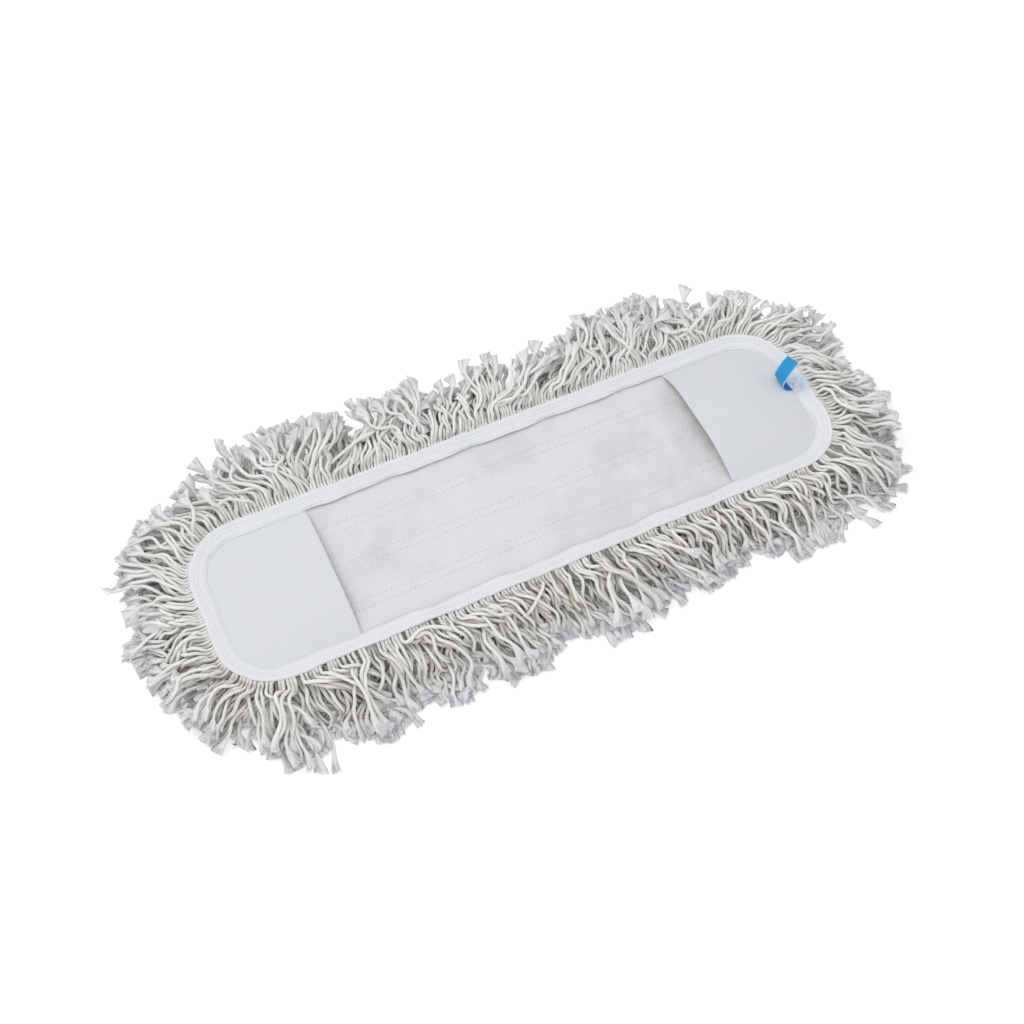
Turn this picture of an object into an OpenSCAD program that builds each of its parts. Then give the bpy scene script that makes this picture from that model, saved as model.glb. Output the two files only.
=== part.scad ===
// Dust mop head for a flat frame: a canvas backing with a cloth pocket at each end,
// three yarn rows sewn underneath, a yarn fringe all round and a tape over the raw edge.
// Millimetres. Floor at z = 0, length along X, tag at +X, front at -Y.

/* [Backing] */
// Length over the edge binding
mop_l = 440; // [380:1:640]
// Width over the edge binding
mop_w = 122; // [112:1:160]
// Corner radius of the edge binding
corner_r = 38; // [32:1:44]
// Thickness of the canvas
backing_t = 1.6; // [1.2:0.1:3]
// Height of the canvas underside above the floor
pile_h = 18; // [16:0.5:24]

/* [Edge binding] */
// Width of the folded tape
binding_w = 11; // [9:0.5:14]
// Thickness of the tape
binding_t = 0.8; // [0.5:0.1:1.2]

/* [Pockets] */
// Depth of a pocket from the tape's inner edge to its mouth
pocket_d = 76; // [60:1:95]
// Thickness of the pocket cloth
pocket_t = 0.8; // [0.5:0.1:1.2]
// Rise of the left pocket's mouth
crown_left = 7; // [6:0.5:14]
// Rise of the right pocket's mouth
crown_right = 9; // [6:0.5:14]
// Width of the turned hem at the mouth
hem_w = 8; // [5:0.5:14]

/* [Fringe] */
// Spacing of the strands along the edge
strand_pitch = 3.5; // [3.4:0.1:5]
// Width of a strand where it leaves the header
strand_w = 2.6; // [1.8:0.1:2.8]
// Width of a strand's frayed tip
tip_w = 4.2; // [2.5:0.1:4.4]
// Reach beyond the tape along the long sides
reach_side = 57; // [45:1:80]
// Reach beyond the tape at the two ends
reach_end = 48; // [40:1:80]
// Sideways sway of the locks
sway = 2; // [0:0.1:2.2]
// Height of the sewn header of the fringe
header_h = 3; // [2.5:0.1:3.5]

/* [Yarn rows] */
// Distance from the end of the tape to the end of a yarn row
row_end = 25; // [25:1:60]
// Distance of the middle row from the centre line
row_shift = 0; // [-4:0.5:4]
// Tufts in a row
row_tufts = 30; // [20:1:40]
// Slot between two tufts
tuft_slot = 1.2; // [0.8:0.1:2]

/* [Stitching] */
// Thickness of the sewing thread
thread_d = 0.8; // [0.5:0.1:1]
// Distance between the two seams of a yarn row
seam_gap = 6.2; // [5:0.1:8]
// Width of a sewn line on the tape
seam_w = 1.2; // [0.8:0.1:2]

/* [Tag] */
// Width of the ribbon
tag_w = 12; // [8:0.5:16]
// Length of the loose flap
tag_l = 19.5; // [12:0.5:24]
// Thickness of the ribbon
tag_t = 0.5; // [0.3:0.1:0.8]
// Distance of the ribbon's middle from the centre line
tag_y = 9.5; // [-12:0.5:12]
// Angle of the loose flap above the floor
tag_lift = 64; // [25:1:70]
// Length of ribbon between the tape and its fold
tag_out = 4.5; // [4:0.5:10]

/* [Fits] */
// Gap between cloths that lie on one another
cloth_gap = 0.05; // [0.05:0.01:0.1]
// Gap round a piece that moves or hangs free
free_gap = 0.3; // [0.3:0.05:0.5]
// Gap between a seam's thread and its groove
groove_gap = 0.1; // [0.05:0.01:0.15]
// Gap between the tape's inner edge and what stands beside it
tape_gap = 0.5; // [0.3:0.1:1]

/* [Hidden] */
$fn = 48;
back_top = pile_h + backing_t;
pocket_top = back_top + pocket_t;
// The tape folds round canvas, pocket cloth and ribbon
bind_in = backing_t + pocket_t + tag_t + 2 * cloth_gap;
bind_h = bind_in + 2 * binding_t;
bind_z = pile_h - binding_t;
bind_top = bind_z + bind_h;
fold_r = bind_h / 2;
fold_sides = 12;
edge_inset = fold_r + cloth_gap;
// Sewn lines on the tape, in from its outer edge
outer_seam = fold_r + 1;
inner_seam = binding_w - 2;
straight_x = mop_l - 2 * corner_r;
straight_y = mop_w - 2 * corner_r;
bend_x = mop_l / 2 - corner_r;
bend_y = mop_w / 2 - corner_r;
// Fringe header under the tape
head_z1 = bind_z - free_gap;
head_z0 = head_z1 - header_h;
head_out = -1;
head_in = -binding_w - tape_gap;
arc_l = corner_r * PI / 2;
corner_dip = 5;
corner_fan = 0.72;
// Strand rings from the header to the tip: heights of the foot, rise of the ridge
segs = 3;
first_n = 14;
mid_n = 0.6;
upper_z = [head_z0, head_z0 + 2.6, 0.66 * pile_h, 0.32 * pile_h];
lower_z = [head_z0, 0.58 * pile_h, 0.25 * pile_h, 0.4];
ridge_h = [header_h, 2.6, 2.4, 2];
strand_widths = [strand_w, strand_w, (strand_w + tip_w) / 2, tip_w];
tip_scatter = 2;
lock_l = 64;
curl_l = 24;
curl_share = 0.25;
short_tips = 0.14;
// Yarn rows fill the width between the fringe headers
pitch_share = 0.303;
row_share = 0.45;
row_pitch = pitch_share * (mop_w + 2 * head_in);
row_hw = row_share * row_pitch;
row_l = mop_l - 2 * row_end;
row_ease = 2;
row_neck = seam_gap / 2 + row_ease;
row_head = 2.5;
seam_z = back_top - thread_d / 2 + groove_gap;
groove_run = 2;
// Pocket outline under the tape and inside it
rim_r = corner_r - edge_inset;
in_r = corner_r - binding_w - tape_gap;
in_x = bend_x + in_r;
mouth_x = mop_l / 2 - binding_w - pocket_d;
hem_x = mouth_x + hem_w;
// Ribbon fold
roll_core = 0.4;
roll_r = tag_t + roll_core;
fold_x = mop_l / 2 - binding_w - tag_out;
fold_z = pocket_top + rise(fold_x, 0, crown_right) + roll_r + free_gap;

// Shared shapes

// Rounded rectangle lying d inside the outer edge of the tape
module outline(d) {
  r = corner_r - d;
  square([straight_x, mop_w - 2 * d], center = true);
  square([mop_l - 2 * d, straight_y], center = true);
  for (x = [-bend_x, bend_x], y = [-bend_y, bend_y])
    translate([x, y])
      circle(r);
}

// Carries a profile round the edge: x of the profile points outwards, y points up
module around_edge() {
  for (turn = [0, 180])
    rotate(turn) {
      translate([-straight_x / 2, mop_w / 2, 0])
        rotate([90, 0, 90])
          linear_extrude(straight_x)
            children();
      translate([mop_l / 2, straight_y / 2, 0])
        rotate([90, 0, 0])
          linear_extrude(straight_y)
            children();
      translate([bend_x, bend_y, 0])
        rotate_extrude(angle = 90)
          translate([corner_r, 0])
            children();
      translate([-bend_x, bend_y, 0])
        rotate(90)
          rotate_extrude(angle = 90)
            translate([corner_r, 0])
              children();
    }
}

function quad(a, b, c, d) = [[a, b, c], [a, c, d]];
function vary(i) = (i * 0.618034) % 1;

// Canvas and tape

module backing_panel() {
  color("gainsboro")
    difference() {
      translate([0, 0, pile_h])
        linear_extrude(backing_t)
          outline(edge_inset);
      for (k = [-1, 0, 1])
        seams(k, thread_d + 2 * groove_gap, row_l + 2 * groove_run);
    }
}

module edge_binding() {
  color("whitesmoke")
    around_edge()
      translate([0, bind_z])
        difference() {
          union() {
            translate([-binding_w, 0])
              square([binding_w - fold_r, bind_h]);
            translate([-fold_r, fold_r])
              circle(fold_r, $fn = fold_sides);
          }
          translate([-binding_w - 1, binding_t])
            square([binding_w + 1 - fold_r, bind_in]);
          translate([-fold_r, fold_r])
            circle(fold_r - binding_t, $fn = fold_sides);
        }
}

module tape_seam(d) {
  color("white")
    around_edge()
      translate([-d, bind_top])
        polygon([[-seam_w / 2, 0], [seam_w / 2, 0], [seam_w / 4, thread_d / 2], [-seam_w / 4, thread_d / 2]]);
}

module binding_stitching_outer() {
  tape_seam(outer_seam);
}

module binding_stitching_inner() {
  tape_seam(inner_seam);
}

// Pockets: one cloth each, flat under the tape and arched towards the mouth

function rim_hw(x, r) = bend_y + (x <= bend_x ? r : sqrt(max(r * r - pow(x - bend_x, 2), 0)));
function along(x) = min(max((in_x - x) / (in_x - mouth_x), 0), 1);
function rise(x, q, crown) = crown * (1 - pow(q, 4)) * (1 - pow(1 - along(x), 4));
function hem_drop(x, q, crown) = x > hem_x ? 0 : min(pocket_t, rise(x, q, crown) / 3);

pocket_q = [-1, -0.9, -0.75, -0.5, -0.25, 0, 0.25, 0.5, 0.75, 0.9, 1];
pocket_x = concat(
  [for (a = [90, 66]) bend_x + rim_r * sin(a)],
  [for (a = [90, 68, 48, 28, 0]) bend_x + in_r * sin(a)],
  [for (f = [0.35, 0.7]) bend_x + f * (hem_x - bend_x)],
  [hem_x + cloth_gap, hem_x, mouth_x]);

module pocket(crown) {
  cols = len(pocket_q) + 2;
  rows = len(pocket_x);
  half = rows * cols;
  points = [for (top = [0, 1], x = pocket_x, j = [0 : cols - 1])
    let (
      rim = j == 0 || j == cols - 1,
      q = rim ? 1 : pocket_q[j - 1],
      y = rim ? (j == 0 ? -1 : 1) * rim_hw(x, rim_r) : q * rim_hw(x, in_r),
      lift = rise(x, q, crown) - (top == 1 ? -pocket_t : hem_drop(x, q, crown))
    ) [x, y, back_top + lift]];
  skin = [for (i = [0 : rows - 2], j = [0 : cols - 2])
    let (a = i * cols + j)
    each concat(
      quad(half + a, half + a + cols, half + a + cols + 1, half + a + 1),
      quad(a, a + 1, a + cols + 1, a + cols))];
  ends = [for (j = [0 : cols - 2])
    let (b = (rows - 1) * cols + j)
    each concat(
      quad(j, half + j, half + j + 1, j + 1),
      quad(b, b + 1, half + b + 1, half + b))];
  sides = [for (i = [0 : rows - 2])
    let (a = i * cols, b = a + cols - 1)
    each concat(
      quad(a, a + cols, half + a + cols, half + a),
      quad(b, half + b, half + b + cols, b + cols))];
  polyhedron(points, concat(skin, ends, sides));
}

module pocket_left() {
  color("white")
    mirror([1, 0, 0])
      pocket(crown_left);
}

module pocket_right() {
  color("white")
    pocket(crown_right);
}

// Thread along the inner edge of the hem
module hem_seam(crown) {
  qs = [for (k = [1 : len(pocket_q) - 2]) pocket_q[k]];
  last = 4 * (len(qs) - 1);
  points = [for (q = qs)
    let (z = pocket_top + rise(hem_x, q, crown) + groove_gap, y = q * rim_hw(hem_x, in_r))
    each [
      [hem_x - thread_d / 2, y, z],
      [hem_x + thread_d / 2, y, z],
      [hem_x + thread_d / 3, y, z + thread_d / 2],
      [hem_x - thread_d / 3, y, z + thread_d / 2]]];
  skin = [for (k = [0 : len(qs) - 2], j = [0 : 3])
    let (a = 4 * k + j, b = 4 * k + (j + 1) % 4)
    each quad(a, a + 4, b + 4, b)];
  polyhedron(points, concat(skin, quad(0, 1, 2, 3), quad(last + 3, last + 2, last + 1, last)));
}

module hem_stitching_left() {
  color("white")
    mirror([1, 0, 0])
      hem_seam(crown_left);
}

module hem_stitching_right() {
  color("white")
    hem_seam(crown_right);
}

// Fringe: each run is a sewn header with its strands, upper and lower ones by turns

// Place s along the tape's edge and n beyond it, on a straight run or round a corner
function edge_at(s, n, r) = r == 0
  ? [s, n]
  : [(r + n) * sin(s / r * 180 / PI), (r + n) * cos(s / r * 180 / PI)];
function narrow(n, r) = r == 0 ? 1 : r / (r + n);
function drift(s, n) =
  n / reach_side * sway * (sin(360 * s / lock_l) + curl_share * sin(360 * s / curl_l + 50));

// Corner j of ring k of a strand: two at its foot and one on its ridge
function strand_point(i, s, k, j, r, reach) =
  let (
    n = [head_out, first_n, mid_n * reach, reach][k],
    foot = (i % 2 == 1 ? upper_z : lower_z)[k],
    z = foot + (k == segs ? tip_scatter * vary(3 * i + 1) : 0) + (j == 2 ? ridge_h[k] : 0),
    fan = r == 0 || k == 0 ? 1 : corner_fan * (r + n) / r,
    side = [-0.5, 0.5, 0][j] * strand_widths[k] * fan,
    bend = k == 0 ? 0 : drift(s, n)
  )
  concat(edge_at(s + (bend + side) * narrow(n, r), n, r), z);

module comb(length, r, groups, reach_a, reach_b) {
  span = length - free_gap;
  each_group = ceil(span / strand_pitch / groups);
  lanes = groups * each_group;
  pitch = span / lanes;
  start = -span / 2;
  dip = r == 0 ? 0 : corner_dip;
  function inner(g, t) = 2 * g + t;
  function stop(e, t) = 2 * (groups + 1) + 2 * e + t;
  function ring(i, k, j) = 2 * (groups + 1) + 4 + 3 * (segs + 1) * i + 3 * k + j;
  levels = [head_z0, head_z1];
  backs = [for (g = [0 : groups], z = levels)
    concat(edge_at(start + g * span / groups, head_in, r), z)];
  stops = [for (s = [start, -start], z = levels)
    concat(edge_at(s, head_out, r), z)];
  strands = [for (i = [0 : lanes - 1])
    let (
      f = (i + 0.5) / lanes,
      whole = reach_a + f * (reach_b - reach_a) - 4 * dip * f * (1 - f),
      reach = whole * (1 - short_tips * vary(i + 1))
    )
    for (k = [0 : segs], j = [0 : 2])
      strand_point(i, start + (i + 0.5) * pitch, k, j, r, reach)];
  tops = [for (g = [0 : groups - 1])
    concat(
      [inner(g, 1)],
      g == 0 ? [stop(0, 1)] : [],
      [for (i = [g * each_group : g * each_group + each_group - 1]) ring(i, 0, 2)],
      [g == groups - 1 ? stop(1, 1) : ring((g + 1) * each_group, 0, 2)],
      [inner(g + 1, 1)])];
  bottoms = [for (g = [0 : groups - 1])
    concat(
      [inner(g, 0), inner(g + 1, 0)],
      [g == groups - 1 ? stop(1, 0) : ring((g + 1) * each_group, 0, 0)],
      [for (i = [g * each_group + each_group - 1 : -1 : g * each_group])
        each [ring(i, 0, 1), ring(i, 0, 0)]],
      g == 0 ? [stop(0, 0)] : [])];
  inners = [for (g = [0 : groups - 1])
    each quad(inner(g, 0), inner(g, 1), inner(g + 1, 1), inner(g + 1, 0))];
  caps = concat(
    quad(stop(0, 0), stop(0, 1), inner(0, 1), inner(0, 0)),
    quad(inner(groups, 0), inner(groups, 1), stop(1, 1), stop(1, 0)),
    quad(ring(0, 0, 0), ring(0, 0, 2), stop(0, 1), stop(0, 0)),
    quad(stop(1, 0), stop(1, 1), ring(lanes - 1, 0, 2), ring(lanes - 1, 0, 1)));
  gaps = [for (i = [0 : lanes - 2])
    each quad(ring(i + 1, 0, 0), ring(i + 1, 0, 2), ring(i, 0, 2), ring(i, 0, 1))];
  tubes = [for (i = [0 : lanes - 1], k = [0 : segs - 1], j = [0 : 2])
    let (m = (j + 1) % 3)
    each quad(ring(i, k, j), ring(i, k, m), ring(i, k + 1, m), ring(i, k + 1, j))];
  tips = [for (i = [0 : lanes - 1])
    [ring(i, segs, 0), ring(i, segs, 1), ring(i, segs, 2)]];
  polyhedron(
    concat(backs, stops, strands),
    concat(tops, bottoms, inners, caps, gaps, tubes, tips));
}

module fringe_side(turn) {
  color("ivory")
    rotate(turn)
      translate([0, mop_w / 2, 0])
        comb(straight_x, 0, 1, reach_side, reach_side);
}

module fringe_end(turn) {
  color("ivory")
    rotate(turn)
      translate([0, mop_l / 2, 0])
        comb(straight_y, 0, 1, reach_end, reach_end);
}

module fringe_corner(turn, x, y, reach_a, reach_b) {
  color("ivory")
    translate([x, y, 0])
      rotate(turn)
        comb(arc_l, corner_r, 3, reach_a, reach_b);
}

module fringe_front() {
  fringe_side(180);
}

module fringe_back() {
  fringe_side(0);
}

module fringe_left() {
  fringe_end(90);
}

module fringe_right() {
  fringe_end(-90);
}

module fringe_corner_front_left() {
  fringe_corner(135, -bend_x, -bend_y, reach_side, reach_end);
}

module fringe_corner_front_right() {
  fringe_corner(-135, bend_x, -bend_y, reach_end, reach_side);
}

module fringe_corner_back_left() {
  fringe_corner(45, -bend_x, bend_y, reach_end, reach_side);
}

module fringe_corner_back_right() {
  fringe_corner(-45, bend_x, bend_y, reach_side, reach_end);
}

// Yarn rows: looped yarn sewn along its middle, both legs brushed down to the floor

function row_y(k) = row_shift + k * row_pitch;

module yarn_row(k) {
  leg = [[row_neck, pile_h], [row_neck, pile_h - row_head], [0.82 * row_hw, 0.62 * pile_h],
    [row_hw, 0.4 * pile_h], [row_hw, 0.16 * pile_h], [0.84 * row_hw, 0], [0.16 * row_hw, 0]];
  profile = concat(leg, [[0, 0.55 * pile_h]], [for (n = [len(leg) - 1 : -1 : 0]) [-leg[n][0], leg[n][1]]]);
  step = row_l / row_tufts;
  color("ivory")
    translate([0, row_y(k), 0])
      difference() {
        translate([-row_l / 2, 0, 0])
          rotate([90, 0, 90])
            linear_extrude(row_l)
              polygon(profile);
        for (n = [1 : row_tufts - 1])
          translate([n * step - row_l / 2 - tuft_slot / 2, -row_hw - 1, -1])
            cube([tuft_slot, 2 * row_hw + 2, pile_h - row_head + 1]);
      }
}

// Two lines of thread, or their grooves, along a yarn row
module seams(k, d, length) {
  for (side = [-0.5, 0.5])
    translate([0, row_y(k) + side * seam_gap, seam_z])
      rotate([0, 90, 0])
        cylinder(d = d, h = length, center = true);
}

module yarn_row_front() {
  yarn_row(-1);
}

module yarn_row_centre() {
  yarn_row(0);
}

module yarn_row_back() {
  yarn_row(1);
}

module row_stitching_front() {
  color("white")
    seams(-1, thread_d, row_l);
}

module row_stitching_centre() {
  color("white")
    seams(0, thread_d, row_l);
}

module row_stitching_back() {
  color("white")
    seams(1, thread_d, row_l);
}

// Tag: a ribbon caught under the tape, its loose end folded back over it

module tag_stub() {
  tail = mop_l / 2 - fold_r - 1;
  tip = fold_x + roll_r + free_gap;
  lip = mop_l / 2 - binding_w;
  xs = [for (f = [1, 0.66, 0.33, 0]) tip + f * (lip - free_gap - tip)];
  under = concat([[tail, pocket_top + cloth_gap]],
    [for (x = xs) [x, pocket_top + cloth_gap + rise(x, 0, crown_right)]]);
  over = [for (n = [len(under) - 1 : -1 : 0]) [under[n][0], under[n][1] + tag_t]];
  color("steelblue")
    translate([0, tag_y + tag_w / 2, 0])
      rotate([90, 0, 0])
        linear_extrude(tag_w)
          polygon(concat(under, over));
}

module tag_flap() {
  color("steelblue")
    translate([fold_x, tag_y, fold_z])
      rotate([90, 0, 0]) {
        cylinder(r = roll_r, h = tag_w, center = true);
        rotate(tag_lift)
          translate([0, -tag_t / 2, -tag_w / 2])
            cube([tag_l, tag_t, tag_w]);
      }
}

backing_panel();
pocket_left();
pocket_right();
edge_binding();
fringe_front();
fringe_back();
fringe_left();
fringe_right();
fringe_corner_front_left();
fringe_corner_front_right();
fringe_corner_back_left();
fringe_corner_back_right();
yarn_row_front();
yarn_row_centre();
yarn_row_back();
row_stitching_front();
row_stitching_centre();
row_stitching_back();
binding_stitching_outer();
binding_stitching_inner();
hem_stitching_left();
hem_stitching_right();
tag_stub();
tag_flap();
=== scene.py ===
import math

import bpy
import numpy as np
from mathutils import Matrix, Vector


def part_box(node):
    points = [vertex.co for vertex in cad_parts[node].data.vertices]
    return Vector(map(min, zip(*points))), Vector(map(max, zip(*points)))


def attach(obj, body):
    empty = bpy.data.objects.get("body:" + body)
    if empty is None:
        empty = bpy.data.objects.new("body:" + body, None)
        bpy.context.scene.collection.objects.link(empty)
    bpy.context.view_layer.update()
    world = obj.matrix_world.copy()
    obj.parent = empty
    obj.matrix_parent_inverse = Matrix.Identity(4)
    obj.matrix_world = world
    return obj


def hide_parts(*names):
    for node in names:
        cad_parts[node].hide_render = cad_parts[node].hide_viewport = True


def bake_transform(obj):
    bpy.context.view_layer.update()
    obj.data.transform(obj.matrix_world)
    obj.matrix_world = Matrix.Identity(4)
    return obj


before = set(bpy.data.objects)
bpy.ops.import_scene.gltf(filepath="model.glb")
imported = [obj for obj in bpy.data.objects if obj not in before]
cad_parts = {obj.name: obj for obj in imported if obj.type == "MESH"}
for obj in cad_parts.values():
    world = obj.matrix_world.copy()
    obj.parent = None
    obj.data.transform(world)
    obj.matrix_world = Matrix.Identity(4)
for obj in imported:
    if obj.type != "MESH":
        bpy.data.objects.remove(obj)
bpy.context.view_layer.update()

MM = 0.001

# Canvas backing.
# A panel of off-white cotton canvas with round corners, the piece that everything else
# is sewn to. Its needle lines draw it down and it puffs up a little between them. Under
# the pockets and just out from their mouths it is tinted with painted shade, warmer and darker.
canvas_high = Vector(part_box("backing_panel")[1])
tape_high = Vector(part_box("edge_binding")[1])
corner_r = 38 * MM
half_l = tape_high.x
half_w = tape_high.y
bend_x = half_l - corner_r
bend_y = half_w - corner_r
canvas_inset = half_l - canvas_high.x
canvas_thick = 1.2 * MM
canvas_sag = 0.7 * MM
rim_rise = 3.3 * MM
tape_w = 11 * MM
seam_shift = -0.3 * MM
seam_half = 0.4 * MM
row_names = ("front", "centre", "back")
seam_lines = []
for row in row_names:
    low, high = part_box("row_stitching_" + row)
    seam_lines += [low[1] + seam_half + seam_shift, high[1] - seam_half + seam_shift]


def half_width(x, inset):
    """Half the width of the mop at x, for an outline that lies inset inside the tape's edge."""
    r = corner_r - inset
    over = np.clip(np.abs(x) - bend_x, 0, r)
    return bend_y + np.sqrt(r * r - over * over)


def smooth_step(value, low, high):
    """An even rise from 0 at low to 1 at high, level at both ends."""
    t = np.clip((value - low) / (high - low), 0, 1)
    return t * t * (3 - 2 * t)


def rim_lift(x, y):
    """Rise of the cloths towards the edge, where the yarn under the tape lifts them."""
    over_x, over_y = np.abs(x) - bend_x, np.abs(y) - bend_y
    outside = np.hypot(np.maximum(over_x, 0), np.maximum(over_y, 0))
    inset = corner_r - outside - np.minimum(np.maximum(over_x, over_y), 0)
    return rim_rise * np.clip((tape_w - inset) / (10 * MM), 0, 1)


def undulation(x, y, seed, shortest, longest, waves=9):
    """A smooth random rise and fall of about one unit, as cloth that lies slack has it."""
    rng = np.random.default_rng(seed)
    total = np.zeros_like(x)
    for _ in range(waves):
        turn = rng.uniform(0, math.pi)
        length = rng.uniform(shortest, longest)
        along = x * math.cos(turn) + y * math.sin(turn)
        total += np.sin(2 * math.pi * along / length + rng.uniform(0, 2 * math.pi))
    return total / math.sqrt(waves)


def cloth_grid(name, columns, rows):
    """A flat grid from -1 to 1 each way, to be shaped into a cloth."""
    bpy.ops.object.select_all(action="DESELECT")
    bpy.ops.mesh.primitive_grid_add(x_subdivisions=columns, y_subdivisions=rows, size=2)
    piece = bpy.context.object
    piece.name = name
    return piece


def read_points(piece):
    """The piece's points, one row each."""
    points = np.empty(len(piece.data.vertices) * 3)
    piece.data.vertices.foreach_get("co", points)
    return points.reshape(-1, 3)


def write_points(piece, points):
    """Moves the piece's points to these places."""
    piece.data.vertices.foreach_set("co", np.ascontiguousarray(points, float).ravel())
    piece.data.update()


def thicken(piece, thickness, offset=-1, group=""):
    """Gives a shaped cloth its thickness and a smooth face."""
    bpy.ops.object.select_all(action="DESELECT")
    piece.select_set(True)
    bpy.context.view_layer.objects.active = piece
    solidify = piece.modifiers.new("Thickness", "SOLIDIFY")
    solidify.thickness = thickness
    solidify.offset = offset
    solidify.vertex_group = group
    bpy.ops.object.modifier_apply(modifier=solidify.name)
    bpy.ops.object.shade_smooth()


def mark_points(mesh, title, values):
    """Gives each point of a mesh a grade, for a material to read."""
    mesh.attributes.new(title, "FLOAT", "POINT").data.foreach_set("value", np.ravel(values))


def feed(node, values):
    """Sets a node's inputs, and wires those whose value is another node's output."""
    for name, value in values.items():
        if isinstance(value, bpy.types.NodeSocket):
            node.id_data.links.new(value, node.inputs[name])
        else:
            node.inputs[name].default_value = value


def add_node(tree, kind, output, values=None, **settings):
    """A new shader node with its settings and inputs; gives the named one of its outputs."""
    node = tree.nodes.new("ShaderNode" + kind)
    for name, setting in settings.items():
        setattr(node, name, setting)
    feed(node, values or {})
    return node.outputs[output]


def calc(tree, operation, *values, **settings):
    """The output of a new node that works out one number from others."""
    values = dict(enumerate(values))
    return add_node(tree, "Math", "Value", values, operation=operation, **settings)


def mix_colours(tree, share, first, second):
    """The first colour, which gives way to the second as the share grows."""
    first, second = (
        colour if isinstance(colour, bpy.types.NodeSocket) else (*colour, 1)
        for colour in (first, second))
    values = {"Factor": share, "A": first, "B": second}
    return add_node(tree, "Mix", "Result", values, data_type="RGBA")


def new_material(name, values):
    """A material and its main shader, set to these values."""
    material = bpy.data.materials.new(name)
    material.use_nodes = True
    shader = material.node_tree.nodes["Principled BSDF"]
    feed(shader, values)
    return material, shader


def tint_base(material, share, colour):
    """Lays a colour over the one that a material has so far."""
    tree = material.node_tree
    base = tree.nodes["Principled BSDF"].inputs["Base Color"]
    tree.links.new(mix_colours(tree, share, base.links[0].from_socket, colour), base)


def woven_cloth(name, colour, shade, thread, relief, blotching=0.0, nap=0.12):
    """Plain weave: crossing threads in relief, loose fibres, faint darker blotches and a soft nap.
    """
    material, shader = new_material(name, {
        "Roughness": 0.92, "Specular IOR Level": 0.15,
        "Sheen Weight": nap, "Sheen Roughness": 0.6})
    tree = material.node_tree
    place = add_node(tree, "TexCoord", "Object")
    weave = {"Vector": place, "Scale": 0.314 / thread, "Distortion": 1.2, "Detail": 1.0}
    warp, weft = (
        add_node(tree, "TexWave", "Fac", weave, bands_direction=direction) for direction in "XY")
    threads = calc(tree, "MULTIPLY", warp, weft)
    fibres = add_node(tree, "TexNoise", "Fac", {"Vector": place, "Scale": 520, "Detail": 4})
    height = calc(tree, "ADD", threads, fibres)
    bump = add_node(tree, "Bump", "Normal", {
        "Strength": 0.5, "Distance": relief, "Height": height})

    blotch_noise = add_node(tree, "TexNoise", "Fac", {
        "Vector": place, "Scale": 26, "Detail": 3, "Roughness": 0.55})
    spread = add_node(tree, "MapRange", "Result", {
        "Value": blotch_noise, "From Min": 0.48, "From Max": 0.72, "To Max": blotching})
    grain = add_node(tree, "MapRange", "Result", {
        "Value": fibres, "From Min": 0.3, "From Max": 0.7, "To Max": 0.22})
    tint = calc(tree, "ADD", spread, grain, use_clamp=True)
    feed(shader, {"Normal": bump, "Base Color": mix_colours(tree, tint, colour, shade)})
    return material


def canvas_height(x, y):
    """Height of the slack canvas, before its seams draw it down."""
    inside = smooth_step(half_w - 12 * MM - np.abs(y), 0, 12 * MM)
    slack = 0.3 * undulation(x, y, 3, 24 * MM, 70 * MM)
    slack += 0.16 * undulation(x, y, 4, 9 * MM, 20 * MM)
    slack *= 1 + 0.7 * np.exp(-((x - 75 * MM) / (45 * MM)) ** 2)
    return canvas_high.z - canvas_sag + rim_lift(x, y) + MM * slack * inside


canvas = cloth_grid("canvas_backing", 300, 96)
spot = read_points(canvas)
x = spot[:, 0] * canvas_high.x
y = spot[:, 1] * half_width(x, canvas_inset)
z = canvas_height(x, y)
for line in seam_lines:
    z -= 0.12 * MM * np.exp(-((y - line) / (1.5 * MM)) ** 2)
write_points(canvas, np.column_stack([x, y, z]))
# Painted shade: the canvas under each pocket and just out from its mouth gets a warmer, darker
# tint.
mark_points(canvas.data, "mouth_shade", np.maximum(
    smooth_step(x, 128 * MM, 138 * MM), smooth_step(-x, 132 * MM, 138 * MM)))
thicken(canvas, canvas_thick)
canvas_cloth = woven_cloth(
    "canvas_weave", (0.695, 0.705, 0.73), (0.55, 0.565, 0.595), 0.75 * MM, 0.25 * MM,
    blotching=0.42)
# Painted shade from the pocket mouths, laid over the canvas colour.
painted_mouth_shade = add_node(canvas_cloth.node_tree, "Attribute", "Fac", attribute_name="mouth_shade")
tint_base(canvas_cloth, painted_mouth_shade, (0.66, 0.645, 0.60))
canvas.data.materials.append(canvas_cloth)
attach(canvas, "mop_head")
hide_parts("backing_panel")

# Row stitching.
# Three double seams of white thread through canvas and yarn rows. Each stitch lies on the
# cloth and dives into a needle hole at either end, a shallow cup made dark by painted shade.
stitch_pitch = 3.5 * MM
row_stitch = (2.6 * MM, 0.5 * MM)
row_hole = (0.6 * MM, 0.5 * MM)


def one_stitch(length, thick):
    """One thread loop on the cloth's face: a slim bead whose ends are drawn down."""
    bpy.ops.object.select_all(action="DESELECT")
    bpy.ops.mesh.primitive_uv_sphere_add(segments=6, ring_count=6, radius=1)
    bead = bpy.context.object
    bpy.ops.object.mode_set(mode="EDIT")
    bpy.ops.mesh.select_all(action="SELECT")
    bpy.ops.transform.rotate(value=math.pi / 2, orient_axis="Y", center_override=(0, 0, 0))
    bpy.ops.transform.resize(value=(length / 2, thick / 2, thick / 2))
    bpy.ops.object.mode_set(mode="OBJECT")
    points = read_points(bead)
    points[:, 2] -= 0.9 * thick * (points[:, 0] / (length / 2)) ** 4
    write_points(bead, points)
    bpy.ops.object.shade_smooth()
    return bead


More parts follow.
